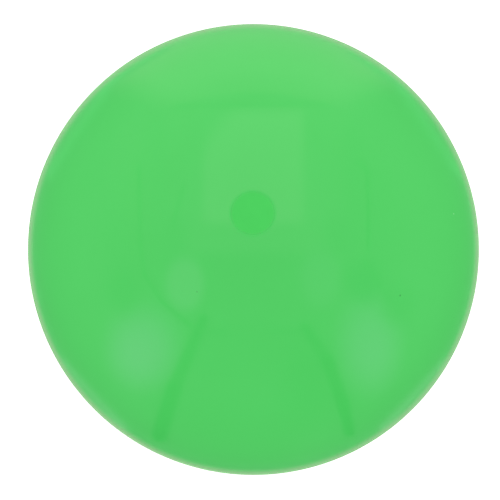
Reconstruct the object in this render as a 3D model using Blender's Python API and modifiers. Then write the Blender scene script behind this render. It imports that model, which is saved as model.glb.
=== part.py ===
"""A filled juggling ball: a seamless soft PVC shell with a filler hole, the push-in plug that
closes the hole, and the loose millet inside.

Metres, +Z up. The origin is the ball's centre, and +Z runs out through the middle of the plug.
All three pieces are turned about Z.
"""

import math

import bmesh
import bpy

# Driving dimensions
BALL_DIAMETER = 0.070
WALL = 0.0030             # shell thickness, the same all round
PLUG_DIAMETER = 0.0062    # the head that shows
PLUG_HEAD = 0.0014        # from the ball's surface to the plug's shoulder
STEM_DIAMETER = 0.0046    # just under the shoulder
STEM_TAPER = 0.0002       # what the stem's radius loses towards its inner end
FILL_LEVEL = 0.0040       # surface of the millet, above the ball's centre
PLUG_CLEARANCE = 0.00025  # round the plug, and under its shoulder
FILL_CLEARANCE = 0.0005   # between the loose millet and the shell
RIM_ROUNDING = 0.0002     # of the hole's mouth, the plug's edge and the stem's end

# How finely the turned surfaces are divided
TURN_STEPS = 48
ARC_STEP = 7.5            # degrees, along a sphere
ROUNDING_STEP = 30.0      # degrees, along a small rounding
MERGE_DISTANCE = 1e-6
SHARP_ANGLE = math.radians(30)

# Sizes that follow from the ones above
BALL_RADIUS = BALL_DIAMETER / 2
CAVITY_RADIUS = BALL_RADIUS - WALL
FILL_RADIUS = CAVITY_RADIUS - FILL_CLEARANCE
PLUG_RADIUS = PLUG_DIAMETER / 2
STEM_RADIUS = STEM_DIAMETER / 2
RECESS_RADIUS = PLUG_RADIUS + PLUG_CLEARANCE
HOLE_RADIUS = STEM_RADIUS + PLUG_CLEARANCE
SHOULDER_Z = BALL_RADIUS - PLUG_HEAD
SEAT_Z = SHOULDER_Z - PLUG_CLEARANCE

# Linear colours
SHELL_GREEN = (0.074, 0.631, 0.120, 1.0)
PLUG_GREEN = (0.066, 0.600, 0.108, 1.0)
MILLET_YELLOW = (0.672, 0.434, 0.147, 1.0)


def clear_scene():
    for old in list(bpy.data.objects):
        bpy.data.objects.remove(old, do_unlink=True)


def make_collection(name):
    made = bpy.data.collections.new(name)
    bpy.context.scene.collection.children.link(made)
    return made


def make_empty(name, collection):
    made = bpy.data.objects.new(name, None)
    made.empty_display_size = BALL_RADIUS
    collection.objects.link(made)
    return made


def make_material(name, color, roughness):
    made = bpy.data.materials.new(name)
    made.use_nodes = True
    surface = made.node_tree.nodes["Principled BSDF"]
    surface.inputs["Base Color"].default_value = color
    surface.inputs["Roughness"].default_value = roughness
    surface.inputs["Metallic"].default_value = 0.0
    made.diffuse_color = color
    return made


def arc(radius, start, end, step, center=(0.0, 0.0)):
    """Points as (distance from the axis, height), by angle in degrees from straight up."""
    count = math.ceil(abs(end - start) / step)
    points = []
    for index in range(count + 1):
        angle = math.radians(start + (end - start) * index / count)
        points.append((center[0] + radius * math.sin(angle), center[1] + radius * math.cos(angle)))
    return points


def sphere_down(radius, start):
    """From start degrees down to the bottom pole, with a point on the equator."""
    if start >= 90.0:
        return arc(radius, start, 180.0, ARC_STEP)
    return arc(radius, start, 90.0, ARC_STEP) + arc(radius, 90.0, 180.0, ARC_STEP)[1:]


def angle_at(distance, radius):
    """Degrees from straight up at which a sphere is this far from the axis, in its top half."""
    return math.degrees(math.asin(distance / radius))


def rounding_center(across):
    """Centre of a rounding that touches the ball's surface from inside, at this distance out."""
    reach = BALL_RADIUS - RIM_ROUNDING
    return (across, math.sqrt(reach * reach - across * across)), angle_at(across, reach)


def turn(name, profile, origin_z, material, parent, collection):
    """A solid of revolution about Z, whose profile ends on its outer side at the bottom."""
    mesh = bpy.data.meshes.new(name)
    outline = bmesh.new()
    verts = [outline.verts.new((across, 0.0, height - origin_z)) for across, height in profile]
    for above, below in zip(verts, verts[1:]):
        outline.edges.new((above, below))
    outline.to_mesh(mesh)
    outline.free()
    made = bpy.data.objects.new(name, mesh)
    made.parent = parent
    made.location.z = origin_z
    collection.objects.link(made)

    screw = made.modifiers.new("Turn", "SCREW")
    screw.axis = "Z"
    screw.steps = TURN_STEPS
    screw.render_steps = TURN_STEPS
    screw.use_merge_vertices = True
    screw.merge_threshold = MERGE_DISTANCE
    graph = bpy.context.evaluated_depsgraph_get()
    solid = bpy.data.meshes.new_from_object(made.evaluated_get(graph))
    made.modifiers.remove(screw)
    made.data = solid
    solid.name = name
    bpy.data.meshes.remove(mesh)
    solid.materials.clear()
    solid.materials.append(material)
    solid.shade_smooth()
    solid.set_sharp_from_angle(angle=SHARP_ANGLE)
    return made


def make_shell(parent, collection):
    """The hollow ball: up the inside, out through the shouldered hole, and down the outside."""
    inside = arc(CAVITY_RADIUS, 180.0, 90.0, ARC_STEP)
    inside += arc(CAVITY_RADIUS, 90.0, angle_at(HOLE_RADIUS, CAVITY_RADIUS), ARC_STEP)[1:]
    seat = [(HOLE_RADIUS, SEAT_Z), (RECESS_RADIUS, SEAT_Z)]
    center, surface_angle = rounding_center(RECESS_RADIUS + RIM_ROUNDING)
    mouth = arc(RIM_ROUNDING, -90.0, surface_angle, ROUNDING_STEP, center)
    outside = sphere_down(BALL_RADIUS, surface_angle)[1:]
    material = make_material("soft_pvc_green", SHELL_GREEN, 0.25)
    return turn("shell", inside + seat + mouth + outside, 0.0, material, parent, collection)


def make_plug(parent, collection):
    """The plug: a head flush with the ball on a tapered stem that ends flush with the cavity."""
    center, surface_angle = rounding_center(PLUG_RADIUS - RIM_ROUNDING)
    dome = arc(BALL_RADIUS, 0.0, surface_angle, ARC_STEP)
    edge = arc(RIM_ROUNDING, surface_angle, 90.0, ROUNDING_STEP, center)[1:]
    shoulder = [(PLUG_RADIUS, SHOULDER_Z), (STEM_RADIUS, SHOULDER_Z)]
    end_radius = STEM_RADIUS - STEM_TAPER
    end_center = (end_radius - RIM_ROUNDING, CAVITY_RADIUS + RIM_ROUNDING)
    end = arc(RIM_ROUNDING, 90.0, 180.0, ROUNDING_STEP, end_center)
    bottom = [(0.0, CAVITY_RADIUS)]
    profile = dome + edge + shoulder + end + bottom
    material = make_material("plug_pvc_green", PLUG_GREEN, 0.45)
    return turn("filler_plug", profile, SHOULDER_Z, material, parent, collection)


def make_fill(parent, collection):
    """The loose millet, as the space that it takes up in the bottom of the cavity."""
    start = math.degrees(math.acos(FILL_LEVEL / FILL_RADIUS))
    profile = [(0.0, FILL_LEVEL)] + sphere_down(FILL_RADIUS, start)
    material = make_material("millet_yellow", MILLET_YELLOW, 0.8)
    return turn("millet_fill", profile, 0.0, material, parent, collection)


clear_scene()
ball = make_collection("juggling_ball")
ball_center = make_empty("ball_center", ball)
make_shell(ball_center, ball)
make_plug(ball_center, ball)
make_fill(ball_center, ball)
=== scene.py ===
import math
import random

import bmesh
import bpy
import numpy as np
from mathutils import Euler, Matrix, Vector


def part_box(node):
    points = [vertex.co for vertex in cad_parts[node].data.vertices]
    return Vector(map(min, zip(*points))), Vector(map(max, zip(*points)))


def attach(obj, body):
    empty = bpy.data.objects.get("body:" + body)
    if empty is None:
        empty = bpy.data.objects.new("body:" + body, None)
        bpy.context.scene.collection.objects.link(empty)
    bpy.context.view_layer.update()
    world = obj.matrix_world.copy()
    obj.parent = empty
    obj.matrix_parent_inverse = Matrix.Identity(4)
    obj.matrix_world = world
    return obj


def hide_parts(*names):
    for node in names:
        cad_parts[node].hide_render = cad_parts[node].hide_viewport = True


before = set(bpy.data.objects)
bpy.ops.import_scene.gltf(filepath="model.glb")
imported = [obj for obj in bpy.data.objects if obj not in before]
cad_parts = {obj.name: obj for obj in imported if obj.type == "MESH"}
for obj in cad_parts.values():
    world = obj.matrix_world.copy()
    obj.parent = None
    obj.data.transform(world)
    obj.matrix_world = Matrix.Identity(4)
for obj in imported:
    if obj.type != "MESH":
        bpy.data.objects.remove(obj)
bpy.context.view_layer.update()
print("frame loaded")

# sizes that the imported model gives, in metres
shellLow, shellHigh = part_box("shell")
plugLow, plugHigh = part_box("filler_plug")
fillLow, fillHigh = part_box("millet_fill")
ballRadius = (shellHigh.x - shellLow.x) / 2
plugRadius = (plugHigh.x - plugLow.x) / 2
cavityRadius = plugLow.z  # the plug's stem ends flush with the inside of the shell
fillRadius = (fillHigh.x - fillLow.x) / 2
fillLevel = fillHigh.z

modelling = {
    "weld": 2e-6,  # corners nearer than this are one corner
    "levelSlack": 1e-6,  # how far from a level a corner may be to count as on it
    "ringSlack": 0.00002,  # the same for a ring's height and radius
    "cutThreshold": 1e-7,
    "roundingSteps": 4,
    "smoothAngle": math.radians(35),
}


def toLinear(hexColor):
    channels = [int(hexColor[i:i + 2], 16) / 255 for i in (1, 3, 5)]
    linear = [c / 12.92 if c <= 0.04045 else ((c + 0.055) / 1.055) ** 2.4 for c in channels]
    return (*linear, 1.0)


def addNode(tree, kind, settings=None, inputs=None):
    node = tree.nodes.new(kind)
    for name, value in (settings or {}).items():
        setattr(node, name, value)
    for key, value in (inputs or {}).items():
        if isinstance(value, bpy.types.NodeSocket):
            tree.links.new(value, node.inputs[key])
        else:
            node.inputs[key].default_value = value
    return node


def addMath(tree, operation, *values):
    return addNode(tree, "ShaderNodeMath", {"operation": operation}, dict(enumerate(values))).outputs[0]


def addVectorMath(tree, operation, *values):
    made = addNode(tree, "ShaderNodeVectorMath", {"operation": operation}, dict(enumerate(values)))
    return made.outputs["Value" if operation in ("LENGTH", "DISTANCE", "DOT_PRODUCT") else "Vector"]


def addScaled(tree, vector, scale):
    inputs = {0: vector, "Scale": scale}
    return addNode(tree, "ShaderNodeVectorMath", {"operation": "SCALE"}, inputs).outputs["Vector"]


def addRange(tree, value, low, high, atLow=0.0, atHigh=1.0, curve="LINEAR"):
    return addNode(tree, "ShaderNodeMapRange", {"interpolation_type": curve}, {
        "Value": value, "From Min": low, "From Max": high, "To Min": atLow, "To Max": atHigh,
    }).outputs["Result"]


def addMixedColor(tree, share, first, second, blend="MIX"):
    settings = {"data_type": "RGBA", "blend_type": blend}
    return addNode(tree, "ShaderNodeMix", settings, {0: share, 6: first, 7: second}).outputs[2]


def addMixedShader(tree, share, first, second):
    inputs = {0: share, 1: first, 2: second}
    return addNode(tree, "ShaderNodeMixShader", inputs=inputs).outputs[0]


def addNoise(tree, place, size, detail, roughness=0.5, distortion=0.0):
    # size is in metres
    return addNode(tree, "ShaderNodeTexNoise", inputs={
        "Vector": place, "Scale": 1 / size, "Detail": detail, "Roughness": roughness,
        "Distortion": distortion,
    }).outputs["Fac"]


def addNoiseRange(tree, noise, atLow, atHigh):
    # nearly all of a noise lies between 0.3 and 0.7
    return addRange(tree, noise, 0.3, 0.7, atLow, atHigh)


def addCells(tree, place, size, randomness):
    return addNode(tree, "ShaderNodeTexVoronoi", {"feature": "F1"}, {
        "Vector": place, "Scale": 1 / size, "Randomness": randomness,
    })


def addBump(tree, height, distance, strength=1.0, onTopOf=None):
    inputs = {"Strength": strength, "Distance": distance, "Height": height}
    if onTopOf is not None:
        inputs["Normal"] = onTopOf
    return addNode(tree, "ShaderNodeBump", inputs=inputs).outputs["Normal"]


def addAxisDistance(tree, place):
    # how far a point is from the axis of the filler hole
    flat = addVectorMath(tree, "MULTIPLY", place, (1, 1, 0))
    return addVectorMath(tree, "LENGTH", flat)


def startMaterial(name):
    made = bpy.data.materials.new(name)
    made.use_nodes = True
    tree = made.node_tree
    tree.nodes.clear()
    return made, tree


def startObjectMaterial(name):
    made, tree = startMaterial(name)
    return made, tree, addNode(tree, "ShaderNodeTexCoord").outputs["Object"]


def endMaterial(tree, surface):
    addNode(tree, "ShaderNodeOutputMaterial", inputs={"Surface": surface})


def endWithPrincipled(tree, inputs):
    endMaterial(tree, addNode(tree, "ShaderNodeBsdfPrincipled", inputs=inputs).outputs[0])


def clearSelection():
    bpy.ops.object.select_all(action="DESELECT")


def pickVerts(piece, test):
    mesh = bmesh.from_edit_mesh(piece.data)
    bpy.ops.mesh.select_mode(type="VERT")
    bpy.ops.mesh.select_all(action="DESELECT")
    for vert in mesh.verts:
        vert.select = test(vert.co)
    mesh.select_flush_mode()
    bmesh.update_edit_mesh(piece.data)


def pickRing(piece, radius, height):
    slack = modelling["ringSlack"]
    pickVerts(piece, lambda co: abs(co.z - height) < slack and abs(math.hypot(co.x, co.y) - radius) < slack)


def ringAt(piece, height):
    # selects the open ring at this height and gives its radius
    pickVerts(piece, lambda co: abs(co.z - height) < modelling["levelSlack"])
    mesh = bmesh.from_edit_mesh(piece.data)
    reach = [math.hypot(vert.co.x, vert.co.y) for vert in mesh.verts if vert.select]
    return sum(reach) / len(reach)


def sizeRing(height, now, wanted):
    share = wanted / now
    bpy.ops.transform.resize(value=(share, share, 1), center_override=(0, 0, height))


def pullRing(height, now, newHeight, wanted):
    # extrudes the selected ring along Z, and then opens or closes it
    move = {"value": (0, 0, newHeight - height)}
    bpy.ops.mesh.extrude_region_move(TRANSFORM_OT_translate=move)
    sizeRing(newHeight, now, wanted)


def roundRing(piece, radius, height, width):
    pickRing(piece, radius, height)
    bpy.ops.mesh.bevel(
        offset=width, segments=modelling["roundingSteps"], affect="EDGES", clamp_overlap=True
    )


def cutBall(name, radius, segments, rings, height, keepTop):
    # a sphere cut level at this height, left in edit mode
    clearSelection()
    bpy.ops.mesh.primitive_uv_sphere_add(segments=segments, ring_count=rings, radius=radius)
    piece = bpy.context.object
    piece.name = name
    piece.data.name = name
    bpy.ops.object.mode_set(mode="EDIT")
    bpy.ops.mesh.select_all(action="SELECT")
    bpy.ops.mesh.bisect(
        plane_co=(0, 0, height), plane_no=(0, 0, 1), threshold=modelling["cutThreshold"],
        clear_inner=keepTop, clear_outer=not keepTop,
    )
    return piece


def weldAll():
    bpy.ops.mesh.select_all(action="SELECT")
    bpy.ops.mesh.remove_doubles(threshold=modelling["weld"])
    bpy.ops.mesh.normals_make_consistent(inside=False)


def countOpenEdges(piece):
    mesh = bmesh.new()
    mesh.from_mesh(piece.data)
    count = sum(1 for edge in mesh.edges if not edge.is_manifold)
    mesh.free()
    return count


def closeUp(piece):
    weldAll()
    bpy.ops.object.mode_set(mode="OBJECT")
    bpy.ops.object.shade_smooth_by_angle(angle=modelling["smoothAngle"])
    print(piece.name, len(piece.data.polygons), "faces,", countOpenEdges(piece), "open edges")


plugSizes = {
    "segments": 128,
    "capRings": 360,  # of the whole sphere that the domed head is cut from
    "headDepth": 0.0014,  # top of the ball to the shoulder
    "headRounding": 0.000008,
    "shoulderRounding": 0.00015,
    "stemRadius": 0.0023,
    "stemEndRadius": 0.0021,
    "stemRounding": 0.00035,
    "pinMarkRadius": 0.0009,  # round mark that the mould's ejector pin leaves on the stem's end
    "pinMarkDepth": 0.00010,
}


def modelPlug(v):
    headHeight = math.sqrt(ballRadius ** 2 - plugRadius ** 2)
    shoulder = ballRadius - v["headDepth"]
    plug = cutBall("fillerPlug", ballRadius, v["segments"], v["capRings"], headHeight, True)
    now = ringAt(plug, headHeight)
    sizeRing(headHeight, now, plugRadius)
    pullRing(headHeight, plugRadius, shoulder, plugRadius)
    pullRing(shoulder, plugRadius, shoulder, v["stemRadius"])
    pullRing(shoulder, v["stemRadius"], cavityRadius, v["stemEndRadius"])
    pullRing(cavityRadius, v["stemEndRadius"], cavityRadius, v["pinMarkRadius"])
    pullRing(cavityRadius, v["pinMarkRadius"], cavityRadius + v["pinMarkDepth"], v["pinMarkRadius"])
    bpy.ops.mesh.edge_face_add()
    roundRing(plug, plugRadius, headHeight, v["headRounding"])
    roundRing(plug, plugRadius, shoulder, v["shoulderRounding"])
    roundRing(plug, v["stemEndRadius"], cavityRadius, v["stemRounding"])
    closeUp(plug)
    return plug


shellSizes = {
    "segments": 192,
    "outerRings": 120,
    "innerRings": 100,
    "seam": 0.000004,  # left open round the plug's head, which is a push fit
    "seatGap": 0.00005,
    "holeGap": 0.00004,
    "mouthRounding": 0.000008,
    "seatRounding": 0.00012,
    "holeRounding": 0.00030,
}


def modelShell(v):
    recessRadius = plugRadius + v["seam"]
    holeRadius = plugSizes["stemRadius"] + v["holeGap"]
    seatHeight = ballRadius - plugSizes["headDepth"] - v["seatGap"]
    mouthHeight = math.sqrt(ballRadius ** 2 - recessRadius ** 2)
    holeEnd = math.sqrt(cavityRadius ** 2 - holeRadius ** 2)

    inner = cutBall("cavity", cavityRadius, v["segments"], v["innerRings"], holeEnd, False)
    now = ringAt(inner, holeEnd)
    sizeRing(holeEnd, now, holeRadius)
    bpy.ops.object.mode_set(mode="OBJECT")

    shell = cutBall("pvcShell", ballRadius, v["segments"], v["outerRings"], mouthHeight, False)
    now = ringAt(shell, mouthHeight)
    sizeRing(mouthHeight, now, recessRadius)
    pullRing(mouthHeight, recessRadius, seatHeight, recessRadius)
    pullRing(seatHeight, recessRadius, seatHeight, holeRadius)
    pullRing(seatHeight, holeRadius, holeEnd, holeRadius)
    bpy.ops.object.mode_set(mode="OBJECT")

    clearSelection()
    inner.select_set(True)
    shell.select_set(True)
    bpy.context.view_layer.objects.active = shell
    bpy.ops.object.join()
    bpy.ops.object.mode_set(mode="EDIT")
    weldAll()  # which also turns the cavity's faces round to face it, as the roundings need
    roundRing(shell, recessRadius, mouthHeight, v["mouthRounding"])
    roundRing(shell, holeRadius, seatHeight, v["seatRounding"])
    roundRing(shell, recessRadius, seatHeight, v["seatRounding"])
    roundRing(shell, holeRadius, holeEnd, v["holeRounding"])
    closeUp(shell)
    return shell


milletSizes = {
    "seed": 11,
    "grainRadius": 0.00098,
    "grainWaist": 0.94,  # its second width, as a share of the first
    "grainFlatness": 0.86,
    "dimple": 0.22,
    "dimpleFrom": 0.98,  # the share of the grain's height above which it is pushed in
    "grainSegments": 8,
    "grainRings": 6,
    "sizeSpread": 0.12,
    "largeShare": 0.3,  # how far above the usual size a grain goes, as a share of how far below
    "room": 1.1,  # what a grain needs to turn in, as a share of its radius
    "rowSpacing": 0.00186,
    "rowShift": 0.36,  # how far a grain on top strays from its row
    "sink": 0.45,  # how far one sinks in, as a share of the room it needs
    "wallSpacing": 0.00190,
    "wallTop": 2.2,  # the grains along the wall stop this many of their radii under the level
    "wallRise": 0.0004,  # how far one strays up or down, and round
    "wallShift": 0.0005,
    "wallInset": 0.012,  # how far inwards, as a share of its reach
    "wallLowest": 0.9999,  # none lies lower than this share of the reach
    "wallLeastAcross": 0.002,  # keeps the straying round small near the bottom
    "coreInset": 0.0013,
    "coreSegments": 96,
    "coreRings": 48,
    "coreTopRings": (0.8, 0.6, 0.4, 0.2),
    "heap": 0.0008,  # how far the top wanders below its level
    "heapWaveX": (190, 0.6),  # radians for each metre, and where the wave starts
    "heapWaveY": (160, -0.4),
    "heapWaveAcross": (310, 0.5),  # radians for each metre, and its height beside the other two
    "rowPitch": 0.866,  # the share of their spacing that rows of packed round things lie apart
}


def modelGrain(v):
    # one millet grain: a slightly flat bead with a dimple where it sat on its stalk
    clearSelection()
    bpy.ops.mesh.primitive_uv_sphere_add(
        segments=v["grainSegments"], ring_count=v["grainRings"], radius=v["grainRadius"]
    )
    grain = bpy.context.object
    bpy.ops.object.mode_set(mode="EDIT")
    bpy.ops.mesh.select_all(action="SELECT")
    shape = (1.0, v["grainWaist"], v["grainFlatness"])
    bpy.ops.transform.resize(value=shape, center_override=(0, 0, 0))
    top = v["grainRadius"] * v["grainFlatness"]
    pickVerts(grain, lambda co: co.z > top * v["dimpleFrom"])
    bpy.ops.transform.translate(value=(0, 0, -top * v["dimple"]))
    bpy.ops.object.mode_set(mode="OBJECT")
    return grain


def pourGrains(name, grain, places, v, draw):
    # copies the grain to each place, turned and sized a little differently, in one mesh
    corners = np.array([vert.co for vert in grain.data.vertices])
    faces = [list(face.vertices) for face in grain.data.polygons]
    points, polygons, tones = [], [], []
    for place in places:
        turn = Euler([draw.uniform(0, math.tau) for _ in range(3)]).to_matrix()
        size = 1 + draw.uniform(-v["sizeSpread"], v["sizeSpread"] * v["largeShare"])
        start = len(points) * len(corners)
        points.append(corners @ np.array(turn).T * size + np.array(place))
        polygons.extend([[start + index for index in face] for face in faces])
        tones.extend([draw.random()] * len(corners))
    mesh = bpy.data.meshes.new(name)
    mesh.from_pydata(np.concatenate(points).tolist(), [], polygons)
    tone = mesh.attributes.new("grainTone", "FLOAT", "POINT")
    tone.data.foreach_set("value", tones)
    mesh.shade_smooth()
    piece = bpy.data.objects.new(name, mesh)
    bpy.context.scene.collection.objects.link(piece)
    print(name, len(places), "grains,", len(polygons), "faces")
    return piece


def heapHeight(x, y, v):
    # the top of loose grain, which wanders in waves two to four centimetres long
    (alongX, startX), (alongY, startY) = v["heapWaveX"], v["heapWaveY"]
    across, part = v["heapWaveAcross"]
    swell = math.sin(x * alongX + startX) * math.cos(y * alongY + startY)
    swell += part * math.sin((x + y) * across)
    most = 1 + part
    return v["heap"] * (swell - most) / (2 * most)


def topGrainPlaces(v, draw, size, reach):
    spacing, pitch, shift = v["rowSpacing"], v["rowPitch"], v["rowShift"]
    rows = int(reach / (spacing * pitch)) + 1
    places = []
    for row in range(-rows, rows + 1):
        for step in range(-rows - 3, rows + 4):
            x = (step + 0.5 * (row % 2)) * spacing + draw.uniform(-shift, shift) * spacing
            y = row * spacing * pitch + draw.uniform(-shift, shift) * spacing
            z = fillLevel - size + heapHeight(x, y, v) + draw.uniform(-v["sink"], 0) * size
            if math.sqrt(x * x + y * y + z * z) < reach:
                places.append((x, y, z))
    return places


def wallGrainPlaces(v, draw, size, reach):
    # an even spiral from the bottom of the cavity up to just under the top grains
    ceiling = fillLevel - v["wallTop"] * size
    area = math.tau * reach * (reach + ceiling)
    count = int(area / (v["wallSpacing"] ** 2 * v["rowPitch"]))
    places = []
    for index in range(count):
        z = -reach + (reach + ceiling) * (index + 0.5) / count
        z += draw.uniform(-v["wallRise"], v["wallRise"])
        z = max(z, -reach * v["wallLowest"])
        across = math.sqrt(reach * reach - z * z)
        shift = draw.uniform(-v["wallShift"], v["wallShift"]) / max(across, v["wallLeastAcross"])
        around = index * math.pi * (3 - math.sqrt(5)) + shift
        inset = 1 - draw.uniform(0, v["wallInset"])
        places.append((across * math.cos(around) * inset, across * math.sin(around) * inset, z * inset))
    return places


def modelMillet(v):
    draw = random.Random(v["seed"])
    grain = modelGrain(v)
    size = v["grainRadius"] * v["room"]
    reach = fillRadius - size
    topPlaces = topGrainPlaces(v, draw, size, reach)
    wallPlaces = wallGrainPlaces(v, draw, size, reach)
    top = pourGrains("milletTopGrains", grain, topPlaces, v, draw)
    wall = pourGrains("milletWallGrains", grain, wallPlaces, v, draw)
    bpy.data.objects.remove(grain)

    # what fills the middle, just under the outermost grains
    coreRadius = fillRadius - v["coreInset"]
    coreTop = fillLevel - v["coreInset"] - v["heap"]
    core = cutBall("milletCore", coreRadius, v["coreSegments"], v["coreRings"], coreTop, False)
    now = ringAt(core, coreTop)
    for share in v["coreTopRings"]:
        pullRing(coreTop, now, coreTop, coreRadius * share)
        now = coreRadius * share
    bpy.ops.mesh.edge_face_add()
    closeUp(core)
    return core, top, wall


# soft PVC, moulded in a polished hollow tool: an even, glossy skin that shows the studio clearly,
# broken only by very fine ripple, faint cloudiness in the colour, hairline scuffs, dust and a ring of
# painted shade round the hole
pvcLook = {
    "color": "#4dd061",
    "cloudColor": "#4acd5d",
    "cloudSize": 0.015,
    "roughness": 0.09,
    "roughnessSpread": 0.02,
    "wearSize": 0.009,
    "ior": 1.45,
    "sheenWeight": 1.0,  # the skin's plasticiser haze, which lightens it where it turns away
    "sheenRoughness": 0.3,
    "sheenColor": "#59f07a",
    "rippleSize": 0.0011,
    "rippleDepth": 0.0000006,
    "waveSize": 0.007,
    "waveDepth": 0.000003,
    "scuffSize": 0.02,
    "scuffWidth": 0.0022,
    "scuffPatchSize": 1 / 90,
    "scuffPatches": (0.56, 0.68),
    "scuffRoughness": 0.10,
    "dustCell": 0.0042,
    "dustSize": 0.00011,
    "dustEdge": 1.6,  # a speck has faded out at this many times its size
    "dustShare": 0.20,
    "paleDustFrom": 0.6,
    "dustStrength": 0.6,
    "dirtColor": "#2f7f3c",
    "dustColor": "#bfe6c3",
    "holeShadeColor": "#39ce55",  # painted shade: the skin is darker where it turns into the hole
    "holeShadeWidth": 0.00055,
    "holeShadeInside": 0.00005,
}


def addDust(tree, place, skin, v):
    # one speck in a few of the cells
    cells = addCells(tree, place, v["dustCell"], 1.0)
    edge = v["dustSize"] / v["dustCell"]
    speck = addRange(tree, cells.outputs["Distance"], edge, edge * v["dustEdge"], 1.0, 0.0, "SMOOTHSTEP")
    chosen = addNode(tree, "ShaderNodeSeparateColor", inputs={0: cells.outputs["Color"]})
    some = addMath(tree, "LESS_THAN", chosen.outputs[0], v["dustShare"])
    dust = addMath(tree, "MULTIPLY", speck, some)
    pale = addMath(tree, "GREATER_THAN", chosen.outputs[1], v["paleDustFrom"])
    tone = addMixedColor(tree, pale, toLinear(v["dirtColor"]), toLinear(v["dustColor"]))
    faint = addMath(tree, "MULTIPLY", dust, v["dustStrength"])
    return addMixedColor(tree, faint, skin, tone)


def addScuffs(tree, place, v):
    # hairlines, only in patches
    path = addNoise(tree, place, v["scuffSize"], 2.0, 0.6, 0.4)
    side = addMath(tree, "ABSOLUTE", addMath(tree, "SUBTRACT", path, 0.5))
    line = addRange(tree, side, 0.0, v["scuffWidth"], 1.0, 0.0)
    patches = addRange(tree, addNoise(tree, place, v["scuffPatchSize"], 1.0), *v["scuffPatches"])
    return addMath(tree, "MULTIPLY", line, patches)


def makeShellPvc(v):
    made, tree, place = startObjectMaterial("softPvcGlossMoulded")
    cloud = addNoise(tree, place, v["cloudSize"], 3.0, 0.55)
    body = addMixedColor(tree, cloud, toLinear(v["cloudColor"]), toLinear(v["color"]))

    # painted shade: a darker ring round the mouth of the filler hole, on the outer skin only
    rim = addRange(tree, addAxisDistance(tree, place), plugRadius - v["holeShadeInside"],
                   plugRadius + v["holeShadeWidth"], 1.0, 0.0, "SMOOTHSTEP")
    height = addNode(tree, "ShaderNodeSeparateXYZ", inputs={0: place}).outputs["Z"]
    holeShadeShare = addMath(tree, "MULTIPLY", rim, addMath(tree, "GREATER_THAN", height, cavityRadius))
    holeShaded = addMixedColor(tree, holeShadeShare, body, toLinear(v["holeShadeColor"]))
    dusty = addDust(tree, place, holeShaded, v)

    wear = addNoise(tree, place, v["wearSize"], 4.0, 0.6)
    gloss = addNoiseRange(tree, wear, v["roughness"] - v["roughnessSpread"],
                          v["roughness"] + v["roughnessSpread"])
    worn = addMath(tree, "MULTIPLY_ADD", addScuffs(tree, place, v), v["scuffRoughness"], gloss)

    ripple = addNoise(tree, place, v["rippleSize"], 2.0)
    waves = addNoise(tree, place, v["waveSize"], 1.0)
    waveBump = addBump(tree, waves, v["waveDepth"])
    bump = addBump(tree, ripple, v["rippleDepth"], onTopOf=waveBump)
    endWithPrincipled(tree, {
        "Base Color": dusty, "Roughness": worn, "IOR": v["ior"], "Sheen Weight": v["sheenWeight"],
        "Sheen Roughness": v["sheenRoughness"], "Sheen Tint": toLinear(v["sheenColor"]), "Normal": bump,
    })
    return made


# the plug is the same PVC out of a blasted tool: the same green with a satin skin and no clear reflection
plugLook = {
    "color": "#4ed260",
    "edgeLightColor": "#53d264",  # painted light: lighter towards the edge, where it meets the lit skin round it
    "edgeLightWidth": 0.00032,
    "grainSize": 0.00035,
    "grainDepth": 0.000004,
    "grainStrength": 0.5,
    "roughness": 0.55,
    "ior": 1.45,
    "specularLevel": 0.02,
    "cloudSize": 0.0021,
    "cloudShades": (0.985, 1.015),
}


def makePlugPvc(v):
    made, tree, place = startObjectMaterial("softPvcSatinMoulded")
    shade = addNoiseRange(tree, addNoise(tree, place, v["cloudSize"], 3.0), *v["cloudShades"])
    # painted light: the head grows lighter towards its edge
    edge = addRange(tree, addAxisDistance(tree, place), plugRadius - v["edgeLightWidth"], plugRadius,
                    curve="SMOOTHSTEP")
    body = addMixedColor(tree, edge, toLinear(v["color"]), toLinear(v["edgeLightColor"]))
    shaded = addMixedColor(tree, 1.0, body, shade, "MULTIPLY")
    bump = addBump(tree, addNoise(tree, place, v["grainSize"], 2.0), v["grainDepth"], v["grainStrength"])
    endWithPrincipled(tree, {
        "Base Color": shaded, "Roughness": v["roughness"], "IOR": v["ior"],
        "Specular IOR Level": v["specularLevel"], "Normal": bump,
    })
    return made


# hulled millet: small hard beads from cream to straw, with a dry waxy skin
milletLook = {
    "tones": ["#b98a3c", "#d6ae58", "#e3c377", "#efd99b"],
    "shadowTone": "#6f4f22",  # what shows between the grains
    "skinSize": 0.0004,
    "skinSpread": 0.3,
    "skinDepth": 0.00003,
    "skinStrength": 0.6,
    "roughness": 0.5,
    "ior": 1.5,
    "cellSize": 0.0019,
    "cellRandomness": 0.8,
    "cellShade": (0.1, 0.75),  # shares of a cell between which its grain darkens into the gap
    "cellDepth": 0.5,  # as a share of its size
    "coreRoughness": 0.6,
}


def makeMilletSkin(v):
    made, tree, place = startObjectMaterial("milletGrainDry")
    tone = addNode(tree, "ShaderNodeAttribute", {"attribute_name": "grainTone"}).outputs["Fac"]
    skin = addNoise(tree, place, v["skinSize"], 3.0)
    mixed = addMath(tree, "MULTIPLY_ADD", skin, v["skinSpread"], tone)
    eased = addMath(tree, "SUBTRACT", mixed, v["skinSpread"] / 2)
    ramp = addNode(tree, "ShaderNodeValToRGB", inputs={0: eased})
    stops = ramp.color_ramp.elements
    for index, color in enumerate(v["tones"]):
        position = index / (len(v["tones"]) - 1)
        stop = stops[index] if index < 2 else stops.new(position)
        stop.position = position
        stop.color = toLinear(color)
    bump = addBump(tree, skin, v["skinDepth"], v["skinStrength"])
    endWithPrincipled(tree, {
        "Base Color": ramp.outputs["Color"], "Roughness": v["roughness"], "IOR": v["ior"], "Normal": bump,
    })
    return made


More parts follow.
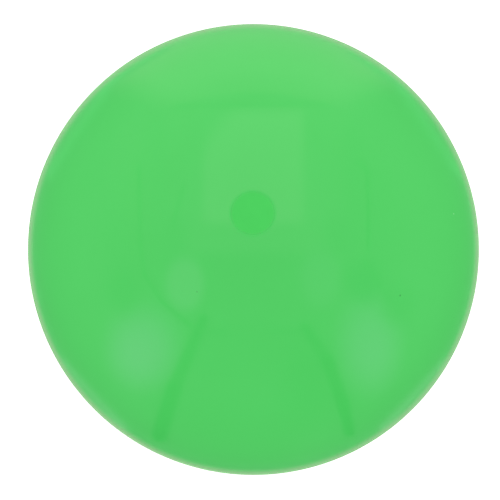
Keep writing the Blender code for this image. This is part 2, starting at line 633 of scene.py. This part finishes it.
def makeMilletCore(v):
    # packed grains in the shade of the ones on top of them
    made, tree, place = startObjectMaterial("milletPackedShade")
    gap = addCells(tree, place, v["cellSize"], v["cellRandomness"]).outputs["Distance"]
    shade = addRange(tree, gap, *v["cellShade"])
    body = addMixedColor(tree, shade, toLinear(v["tones"][0]), toLinear(v["shadowTone"]))
    bump = addBump(tree, addMath(tree, "MULTIPLY", gap, -1.0), v["cellSize"] * v["cellDepth"])
    endWithPrincipled(tree, {
        "Base Color": body, "Roughness": v["coreRoughness"], "IOR": v["ior"], "Normal": bump,
    })
    return made


shellPiece = modelShell(shellSizes)
shellPiece.data.materials.append(makeShellPvc(pvcLook))
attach(shellPiece, "shell")
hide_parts("shell")
print("shell done")

plugPiece = modelPlug(plugSizes)
plugPiece.data.materials.append(makePlugPvc(plugLook))
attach(plugPiece, "plug")
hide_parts("filler_plug")
print("plug done")

millet = modelMillet(milletSizes)
milletMaterials = [makeMilletCore(milletLook), makeMilletSkin(milletLook)]
for index, piece in enumerate(millet):
    piece.data.materials.append(milletMaterials[min(index, 1)])
    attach(piece, "filling")
    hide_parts("millet_fill")
print("millet done")

# where the camera stands: a little to the front of straight above, looking down at the ball's middle
cameraPlace = {
    "tilt": math.radians(8.58),
    "lean": math.radians(0.21),
    "distance": 0.4324,
    "aside": (-0.00053, -0.00008),  # along the picture's right and up
    "lens": 200,
    "sensor": 36,
    "nearest": 0.01,
}
viewRight, viewUp, viewAxis = Euler((cameraPlace["tilt"], cameraPlace["lean"], 0)).to_matrix().col


def placeCamera(v):
    data = bpy.data.cameras.new("studioCamera")
    data.lens = v["lens"]
    data.sensor_width = v["sensor"]
    data.clip_start = v["nearest"]
    camera = bpy.data.objects.new("studioCamera", data)
    bpy.context.scene.collection.objects.link(camera)
    camera.location = viewAxis * v["distance"] + viewRight * v["aside"][0] + viewUp * v["aside"][1]
    camera.rotation_euler = (v["tilt"], v["lean"], 0)
    bpy.context.scene.camera = camera


# a sweep of matt white paper, lit past white: it carries only a soft shadow under the ball
floorLook = {"size": 6, "color": (0.85, 0.85, 0.85, 1), "glow": 0.62}


def layFloor(v):
    clearSelection()
    bpy.ops.mesh.primitive_plane_add(size=v["size"], location=(0, 0, shellLow.z))
    floor = bpy.context.object
    floor.name = "paleFloor"
    made, tree = startMaterial("whitePaperSweep")
    seen = addNode(tree, "ShaderNodeLightPath").outputs["Is Camera Ray"]
    paper = addNode(tree, "ShaderNodeBsdfDiffuse", inputs={"Color": v["color"]}).outputs[0]
    lit = addNode(tree, "ShaderNodeEmission", inputs={"Color": (1, 1, 1, 1), "Strength": v["glow"]})
    overexposed = addNode(tree, "ShaderNodeAddShader", inputs={0: paper, 1: lit.outputs[0]}).outputs[0]
    # from below, the paper isn't there
    under = addNode(tree, "ShaderNodeNewGeometry").outputs["Backfacing"]
    clear = addNode(tree, "ShaderNodeBsdfTransparent").outputs[0]
    above = addMixedShader(tree, seen, paper, overexposed)
    endMaterial(tree, addMixedShader(tree, addMath(tree, "MULTIPLY", seen, under), above, clear))
    floor.data.materials.append(made)
    floor.visible_glossy = False


# the studio, as it would show in a mirror ball seen along viewAxis: x to the right and y up, in shares
# of the ball's radius, so the rim of the mirror ball is what lies behind the ball. Each shape lies over
# the ones before it:
# box: left, right, low, high          round: middle x, middle y, half width, half height
# strip: from x, y to x, y, and its half width at each end
# arch: above a curved foot, between two sides that lean outwards
# fade: from this reach to that one the light falls to a share
studio = {
    "backdrop": (1.05, 1.05, 1.05, 1),
    "zenith": 0.955,
    "skirt": 2.08,  # brighter band all round, just above the floor
    "skirtTop": 0.30,
    "skirtFromBehind": 0.25,
    "fromBehind": 0.05,  # how much more light comes from behind the ball than from the front
    "fromRight": 0.015,
    "wallsFromBehind": 0.12,
    "walls": [(0, 0.60), (0.5, 0.62), (0.7, 0.60), (0.77, 0.52), (0.85, 0.36), (0.9, 0.24), (0.95, 0.18),
              (0.975, 0.22), (1, 0.5)],
    "farRoom": (0.74, 0.24, 0.52, 1),  # warm room past the paper, which only the very edge shows
    "farRoomFrom": 0.970,
    "farRoomTo": 0.998,
    "shapes": [
        {"name": "frontWall", "strip": (0, -0.36, 0, -1.3), "width": (0.30, 0.75), "soft": 0.10,
         "light": (0.50, 0.50, 0.50), "fade": (0.62, 0.92, 0.35)},
        {"name": "ceiling", "box": (-0.40, 0.40, 0.14, 0.62), "soft": 0.05, "light": (0.80, 0.80, 0.77)},
        {"name": "ceilingMiddle", "box": (-0.30, 0.31, -0.03, 0.45), "soft": 0.05,
         "light": (0.88, 0.87, 0.85)},
        {"name": "ceilingFront", "box": (-0.26, 0.26, -0.34, -0.03), "soft": 0.06,
         "light": (0.60, 0.60, 0.60)},
        {"name": "sideLeft", "round": (-0.50, 0.30, 0.10, 0.22), "soft": 0.8, "light": (0.76, 0.76, 0.72)},
        {"name": "lightPanel", "box": (-0.223, 0.220, 0.118, 0.640), "soft": 0.032,
         "light": (1.42, 1.34, 1.30)},
        {"name": "panelTop", "strip": (-0.26, 0.640, 0.26, 0.640), "width": (0.02, 0.02), "soft": 0.05,
         "light": (0.85, 0.84, 0.8)},
        {"name": "panelCorner", "strip": (-0.31, 0.44, -0.12, 0.70), "width": (0.06, 0.06), "soft": 0.06,
         "light": (0.80, 0.80, 0.76)},
        {"name": "backWall", "arch": {"foot": 0.674, "curve": 0.45, "side": 0.33, "sideAt": 0.60,
                                      "lean": 1.74, "sideSoft": 0.20},
         "soft": 0.012, "light": (1.00, 0.96, 0.88), "fade": (0.79, 0.97, 0.42)},
        {"name": "wallEndLeft", "strip": (-0.660, 0.720, -0.380, 0.890), "width": (0.016, 0.004),
         "soft": 0.022, "light": (0.28, 0.46, 0.32)},
        {"name": "wallEndRight", "strip": (0.660, 0.720, 0.430, 0.868), "width": (0.016, 0.004),
         "soft": 0.022, "light": (0.28, 0.46, 0.32)},
        {"name": "hedgeLeft", "strip": (-0.900, 0.340, -0.660, 0.700), "width": (0.018, 0.024),
         "soft": 0.030, "light": (0.25, 0.50, 0.30)},
        {"name": "hedgeRight", "strip": (0.900, 0.340, 0.660, 0.700), "width": (0.018, 0.024),
         "soft": 0.030, "light": (0.25, 0.50, 0.30)},
        {"name": "tableLeft", "strip": (-0.840, -0.500, -0.580, -0.785), "width": (0.014, 0.018),
         "soft": 0.026, "light": (0.38, 0.38, 0.40)},
        {"name": "tableRight", "strip": (0.840, -0.500, 0.580, -0.785), "width": (0.014, 0.018),
         "soft": 0.026, "light": (0.38, 0.38, 0.40)},
        {"name": "wallFoot", "strip": (-0.345, 0.636, 0.319, 0.646), "width": (0.008, 0.008), "soft": 0.014,
         "light": (0.58, 0.58, 0.56)},
        {"name": "lampLeft", "round": (-0.305, -0.155, 0.080, 0.11), "soft": 0.35,
         "light": (1.34, 0.95, 1.45)},
        {"name": "lampRight", "round": (0.300, -0.130, 0.085, 0.12), "soft": 0.45,
         "light": (0.92, 0.82, 1.02)},
        {"name": "softboxLeft", "round": (-0.485, -0.43, 0.125, 0.14), "soft": 0.75,
         "light": (1.62, 0.85, 2.10)},
        {"name": "softboxRight", "round": (0.512, -0.405, 0.11, 0.165), "soft": 0.75,
         "light": (1.38, 0.85, 1.80)},
        {"name": "shadeLeft", "round": (-0.585, -0.18, 0.07, 0.09), "soft": 0.7,
         "light": (0.45, 0.45, 0.45)},
        {"name": "shadeRight", "round": (0.490, -0.14, 0.075, 0.08), "soft": 0.7,
         "light": (0.36, 0.38, 0.42)},
        {"name": "shadeRightLow", "round": (0.650, -0.24, 0.07, 0.08), "soft": 0.8,
         "light": (0.42, 0.42, 0.44)},
        {"name": "shadeFront", "round": (0.24, -0.64, 0.11, 0.20), "soft": 0.8,
         "light": (0.30, 0.32, 0.30)},
        {"name": "seamLeft", "strip": (-0.222, -0.310, -0.354, -0.620), "width": (0.020, 0.032),
         "soft": 0.014, "light": (0.12, 0.12, 0.12)},
        {"name": "seamLeftEnd", "strip": (-0.354, -0.620, -0.414, -0.820), "width": (0.032, 0.036),
         "soft": 0.014, "light": (0.0, 0.02, 0.0)},
        {"name": "seamRight", "strip": (0.230, -0.347, 0.329, -0.498), "width": (0.020, 0.028),
         "soft": 0.016, "light": (0.15, 0.15, 0.15)},
        {"name": "seamRightMiddle", "strip": (0.329, -0.498, 0.396, -0.680), "width": (0.028, 0.028),
         "soft": 0.014, "light": (0.05, 0.05, 0.05)},
        {"name": "seamRightEnd", "strip": (0.396, -0.680, 0.427, -0.806), "width": (0.028, 0.024),
         "soft": 0.014, "light": (0.0, 0.02, 0.0)},
        {"name": "foldFrontLeft", "strip": (-0.223, -0.366, -0.123, -0.366), "width": (0.006, 0.006),
         "soft": 0.008, "light": (0.3, 0.3, 0.3)},
        {"name": "foldFrontRight", "strip": (0.076, -0.366, 0.208, -0.366), "width": (0.006, 0.006),
         "soft": 0.008, "light": (0.3, 0.3, 0.3)},
        {"name": "cornerLeft", "strip": (-0.477, 0.632, -0.588, 0.688), "width": (0.005, 0.005),
         "soft": 0.010, "light": (0.42, 0.42, 0.42)},
        {"name": "cornerRight", "strip": (0.452, 0.632, 0.585, 0.743), "width": (0.005, 0.005),
         "soft": 0.010, "light": (0.42, 0.42, 0.42)},
        {"name": "foldRight", "strip": (0.507, 0.347, 0.511, -0.004), "width": (0.005, 0.005),
         "soft": 0.007, "light": (0.15, 0.18, 0.15)},
        {"name": "foldRightUp", "strip": (0.466, 0.391, 0.507, 0.347), "width": (0.005, 0.005),
         "soft": 0.008, "light": (0.20, 0.22, 0.20)},
        {"name": "foldLeft", "strip": (-0.509, 0.373, -0.504, 0.040), "width": (0.005, 0.005),
         "soft": 0.008, "light": (0.30, 0.33, 0.30)},
        {"name": "foldLeftDown", "strip": (-0.504, 0.040, -0.487, -0.107), "width": (0.005, 0.005),
         "soft": 0.008, "light": (0.25, 0.28, 0.25)},
        {"name": "foldMiddle", "strip": (-0.312, 0.282, -0.360, 0.104), "width": (0.004, 0.004),
         "soft": 0.007, "light": (0.30, 0.32, 0.30)},
        {"name": "braceLeftTop", "strip": (-0.487, -0.107, -0.409, -0.229), "width": (0.006, 0.006),
         "soft": 0.010, "light": (0.28, 0.30, 0.28)},
        {"name": "braceLeft", "strip": (-0.409, -0.229, -0.276, -0.342), "width": (0.006, 0.007),
         "soft": 0.010, "light": (0.20, 0.22, 0.20)},
        {"name": "braceRight", "strip": (0.496, -0.049, 0.607, -0.228), "width": (0.006, 0.006),
         "soft": 0.010, "light": (0.28, 0.30, 0.28)},
    ],
}


def asDirection(x, y):
    # shares of the ball's outline, as the near camera sees it, to shares for a camera far away
    reach = min(math.hypot(x, y), 1)
    if reach == 0:
        return x, y
    half = math.asin(ballRadius / cameraPlace["distance"]) / 2
    share = math.sin(math.asin(reach) - half * reach) / reach
    return x * share, y * share


def addSoftStep(tree, value, edge, soft, below=1.0, past=0.0):
    return addRange(tree, value, edge - soft, edge + soft, below, past, "SMOOTHSTEP")


def boxMask(tree, shape, spot):
    left, right, low, high = shape["box"]
    left, low = asDirection(left, low)
    right, high = asDirection(right, high)
    sides = []
    for along, start, end in ((spot["x"], left, right), (spot["y"], low, high)):
        away = addMath(tree, "ABSOLUTE", addMath(tree, "SUBTRACT", along, (start + end) / 2))
        sides.append(addSoftStep(tree, away, (end - start) / 2, shape["soft"]))
    return addMath(tree, "MULTIPLY", *sides)


def roundMask(tree, shape, spot):
    middleX, middleY, halfX, halfY = shape["round"]
    off = addVectorMath(tree, "SUBTRACT", spot["flat"], (*asDirection(middleX, middleY), 0))
    reach = addVectorMath(tree, "LENGTH", addVectorMath(tree, "DIVIDE", off, (halfX, halfY, 1)))
    return addSoftStep(tree, reach, 1, shape["soft"])


def archMask(tree, shape, spot):
    arch, x, y = shape["arch"], spot["x"], spot["y"]
    rise = addMath(tree, "MULTIPLY_ADD", addMath(tree, "MULTIPLY", x, x), arch["curve"], y)
    upper = addSoftStep(tree, rise, arch["foot"], shape["soft"], 0.0, 1.0)
    leaning = addMath(tree, "MULTIPLY_ADD", y, -arch["lean"], addMath(tree, "ABSOLUTE", x))
    edge = arch["side"] - arch["lean"] * arch["sideAt"]
    return addMath(tree, "MULTIPLY", upper, addSoftStep(tree, leaning, edge, arch["sideSoft"]))


def stripMask(tree, shape, spot):
    startX, startY, endX, endY = shape["strip"]
    start = Vector((*asDirection(startX, startY), 0))
    run = Vector((*asDirection(endX, endY), 0)) - start
    off = addVectorMath(tree, "SUBTRACT", spot["flat"], tuple(start))
    along = addVectorMath(tree, "DOT_PRODUCT", off, tuple(run / run.length_squared))
    share = addNode(tree, "ShaderNodeClamp", inputs={0: along}).outputs[0]
    width = addRange(tree, share, 0.0, 1.0, *shape["width"])
    gap = addVectorMath(tree, "DISTANCE", off, addScaled(tree, tuple(run), share))
    return addSoftStep(tree, addMath(tree, "SUBTRACT", gap, width), 0, shape["soft"])


shapeMasks = {"box": boxMask, "round": roundMask, "arch": archMask, "strip": stripMask}


def addReflectedStudio(tree, direction, v):
    half = addVectorMath(tree, "ADD", direction, tuple(viewAxis))
    half = addVectorMath(tree, "NORMALIZE", half)
    x = addVectorMath(tree, "DOT_PRODUCT", half, tuple(viewRight))
    y = addVectorMath(tree, "DOT_PRODUCT", half, tuple(viewUp))
    flat = addNode(tree, "ShaderNodeCombineXYZ", inputs={"X": x, "Y": y}).outputs[0]
    reach = addVectorMath(tree, "LENGTH", flat)
    spot = {"flat": flat, "x": x, "y": y}

    walls = addNode(tree, "ShaderNodeValToRGB", inputs={0: reach})
    stops = walls.color_ramp.elements
    for index, (place, light) in enumerate(v["walls"]):
        place = asDirection(place, 0)[0]
        stop = stops[index] if index < 2 else stops.new(place)
        stop.position = place
        stop.color = (light, light, light, 1)
    lean = addMath(tree, "MULTIPLY_ADD", y, v["wallsFromBehind"], 1.0)
    color = addScaled(tree, walls.outputs["Color"], lean)
    for shape in v["shapes"]:
        light = (*shape["light"], 1)
        if "fade" in shape:
            start, end, share = shape["fade"]
            light = addScaled(tree, shape["light"], addRange(tree, reach, start, end, 1.0, share))
        kind = next(kind for kind in shapeMasks if kind in shape)
        color = addMixedColor(tree, shapeMasks[kind](tree, shape, spot), color, light)
        color.node.label = shape["name"]
    roomFrom, roomTo = (asDirection(v[key], 0)[0] for key in ("farRoomFrom", "farRoomTo"))
    past = addRange(tree, reach, roomFrom, roomTo, curve="SMOOTHSTEP")
    return addMixedColor(tree, past, color, v["farRoom"])


def addDome(tree, direction, v):
    way = addNode(tree, "ShaderNodeSeparateXYZ", inputs={0: direction})
    wayX, wayY, wayZ = way.outputs
    band = addRange(tree, wayZ, 0.0, v["skirtTop"], v["skirt"] - v["zenith"], 0.0, "SMOOTHSTEP")
    behind = addMath(tree, "MULTIPLY_ADD", wayY, v["fromBehind"], 1.0)
    aside = addMath(tree, "MULTIPLY_ADD", wayX, v["fromRight"], behind)
    bandBehind = addMath(tree, "MULTIPLY_ADD", wayY, v["skirtFromBehind"], 1.0)
    bandShare = addMath(tree, "MULTIPLY", band, bandBehind)
    return addMath(tree, "MULTIPLY_ADD", aside, v["zenith"], bandShare)


def lightStudio(v):
    # the camera sees plain white, matt skin is lit by the dome, and glossy skin shows the studio
    world = bpy.data.worlds.new("softStudio")
    bpy.context.scene.world = world
    world.use_nodes = True
    world.cycles.sampling_method = "NONE"
    tree = world.node_tree
    tree.nodes.clear()
    direction = addNode(tree, "ShaderNodeTexCoord").outputs["Generated"]
    path = addNode(tree, "ShaderNodeLightPath").outputs
    lights = []
    for color, strength in (
        (v["backdrop"], 1.0),
        ((1, 1, 1, 1), addDome(tree, direction, v)),
        (addReflectedStudio(tree, direction, v), 1.0),
    ):
        made = addNode(tree, "ShaderNodeBackground", inputs={"Color": color, "Strength": strength})
        lights.append(made.outputs[0])
    backdrop, soft, gloss = lights
    lit = addMixedShader(tree, path["Is Glossy Ray"], soft, gloss)
    seen = addMixedShader(tree, path["Is Camera Ray"], lit, backdrop)
    addNode(tree, "ShaderNodeOutputWorld", inputs={"Surface": seen})


placeCamera(cameraPlace)
layFloor(floorLook)
lightStudio(studio)
bpy.context.scene.view_settings.view_transform = "Standard"
print("studio done")
